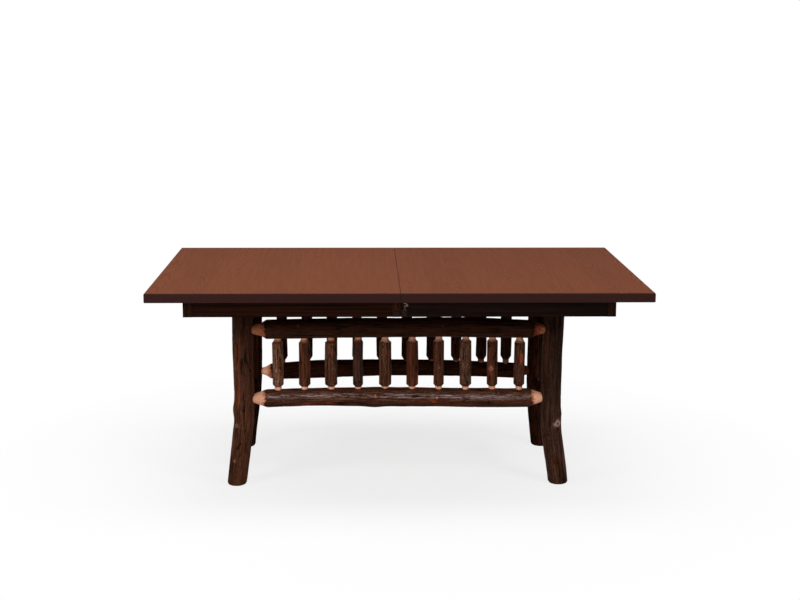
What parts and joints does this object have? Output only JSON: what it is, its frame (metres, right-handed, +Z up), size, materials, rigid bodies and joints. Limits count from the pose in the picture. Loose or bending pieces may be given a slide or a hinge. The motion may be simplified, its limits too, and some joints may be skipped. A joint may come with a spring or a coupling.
{
  "type": "extension dining table",
  "caption": "Rustic bark-on hickory pole table with flared legs, railed spindle sides and a two-part stained top that slides open on geared runners.",
  "frame": {"origin": "on the floor under the middle of the closed top", "axes": "+X along the table's length to the right, +Y from front to back, +Z up"},
  "size_m": [1.75, 1.067, 0.762],
  "materials": {
    "stained_top": "satin stained and lacquered hardwood",
    "stained_apron": "dark stained hardwood",
    "hickory_bark": "bark-on hickory with peeled tapers, clear coated",
    "slide_hardwood": "planed natural hardwood",
    "dowel_birch": "turned birch",
    "zinc_steel": "zinc plated steel",
    "bronzed_steel": "dark bronzed steel",
    "screw_steel": "plain steel screws"
  },
  "bodies": {
    "base": {"cross_bearer_left": "slide_hardwood", "cross_bearer_right": "slide_hardwood", "slide_centre_front": "slide_hardwood", "slide_centre_back": "slide_hardwood", "pinion_pins": "zinc_steel", "stop_pins": "dowel_birch", "base_screws": "screw_steel", "leg_front_left": "hickory_bark", "leg_front_right": "hickory_bark", "leg_back_left": "hickory_bark", "leg_back_right": "hickory_bark", "rail_front_top": "hickory_bark", "rail_front_bottom": "hickory_bark", "rail_back_top": "hickory_bark", "rail_back_bottom": "hickory_bark", "rail_left_top": "hickory_bark", "rail_left_bottom": "hickory_bark", "rail_right_top": "hickory_bark", "rail_right_bottom": "hickory_bark", "spindle_front_01": "hickory_bark", "spindle_front_02": "hickory_bark", "spindle_front_03": "hickory_bark", "spindle_front_04": "hickory_bark", "spindle_front_05": "hickory_bark", "spindle_front_06": "hickory_bark", "spindle_front_07": "hickory_bark", "spindle_front_08": "hickory_bark", "spindle_front_09": "hickory_bark", "spindle_front_10": "hickory_bark", "spindles_back": "hickory_bark", "spindles_left": "hickory_bark", "spindles_right": "hickory_bark"},
    "left_half": {"top_left": "stained_top", "apron_front_left": "stained_apron", "apron_back_left": "stained_apron", "apron_end_left": "stained_apron", "corner_posts_left": "stained_apron", "seam_blocks_left": "stained_apron", "slide_runner_front_left": "slide_hardwood", "slide_runner_back_left": "slide_hardwood", "slide_racks_left": "zinc_steel", "screws_left": "screw_steel", "hook_keepers": "bronzed_steel"},
    "right_half": {"top_right": "stained_top", "apron_front_right": "stained_apron", "apron_back_right": "stained_apron", "apron_end_right": "stained_apron", "corner_posts_right": "stained_apron", "seam_blocks_right": "stained_apron", "slide_runner_front_right": "slide_hardwood", "slide_runner_back_right": "slide_hardwood", "slide_racks_right": "zinc_steel", "screws_right": "screw_steel", "hook_plates": "bronzed_steel", "hook_rivets": "bronzed_steel", "seam_dowels": "dowel_birch"},
    "pinion_front": {"slide_pinion_front": "zinc_steel"},
    "pinion_back": {"slide_pinion_back": "zinc_steel"},
    "hook_front": {"lock_hook_front": "zinc_steel"},
    "hook_back": {"lock_hook_back": "zinc_steel"}
  },
  "joints": [
    {"name": "left_half_slide", "type": "slide", "parent": "base", "child": "left_half", "axis": [-1, 0, 0], "range_m": [0, 0.305]},
    {"name": "right_half_slide", "type": "slide", "parent": "base", "child": "right_half", "axis": [1, 0, 0], "range_m": [0, 0.305]},
    {"name": "pinion_front_spin", "type": "hinge", "parent": "base", "child": "pinion_front", "pos_m": [0, -0.16, 0.7165], "axis": [0, 0, 1], "range_deg": [-874, 0]},
    {"name": "pinion_back_spin", "type": "hinge", "parent": "base", "child": "pinion_back", "pos_m": [0, 0.16, 0.7165], "axis": [0, 0, 1], "range_deg": [-874, 0]},
    {"name": "hook_front_swing", "type": "hinge", "parent": "right_half", "child": "hook_front", "pos_m": [0.0145, -0.4778, 0.686], "axis": [0, -1, 0], "range_deg": [0, 96]},
    {"name": "hook_back_swing", "type": "hinge", "parent": "right_half", "child": "hook_back", "pos_m": [0.0145, 0.4778, 0.686], "axis": [0, -1, 0], "range_deg": [0, 96]}
  ],
  "couplings": [
    {"joint": "right_half_slide", "follows": "left_half_slide", "ratio": 1},
    {"joint": "pinion_front_spin", "follows": "left_half_slide", "rad_per_m": -50},
    {"joint": "pinion_back_spin", "follows": "left_half_slide", "rad_per_m": -50}
  ]
}
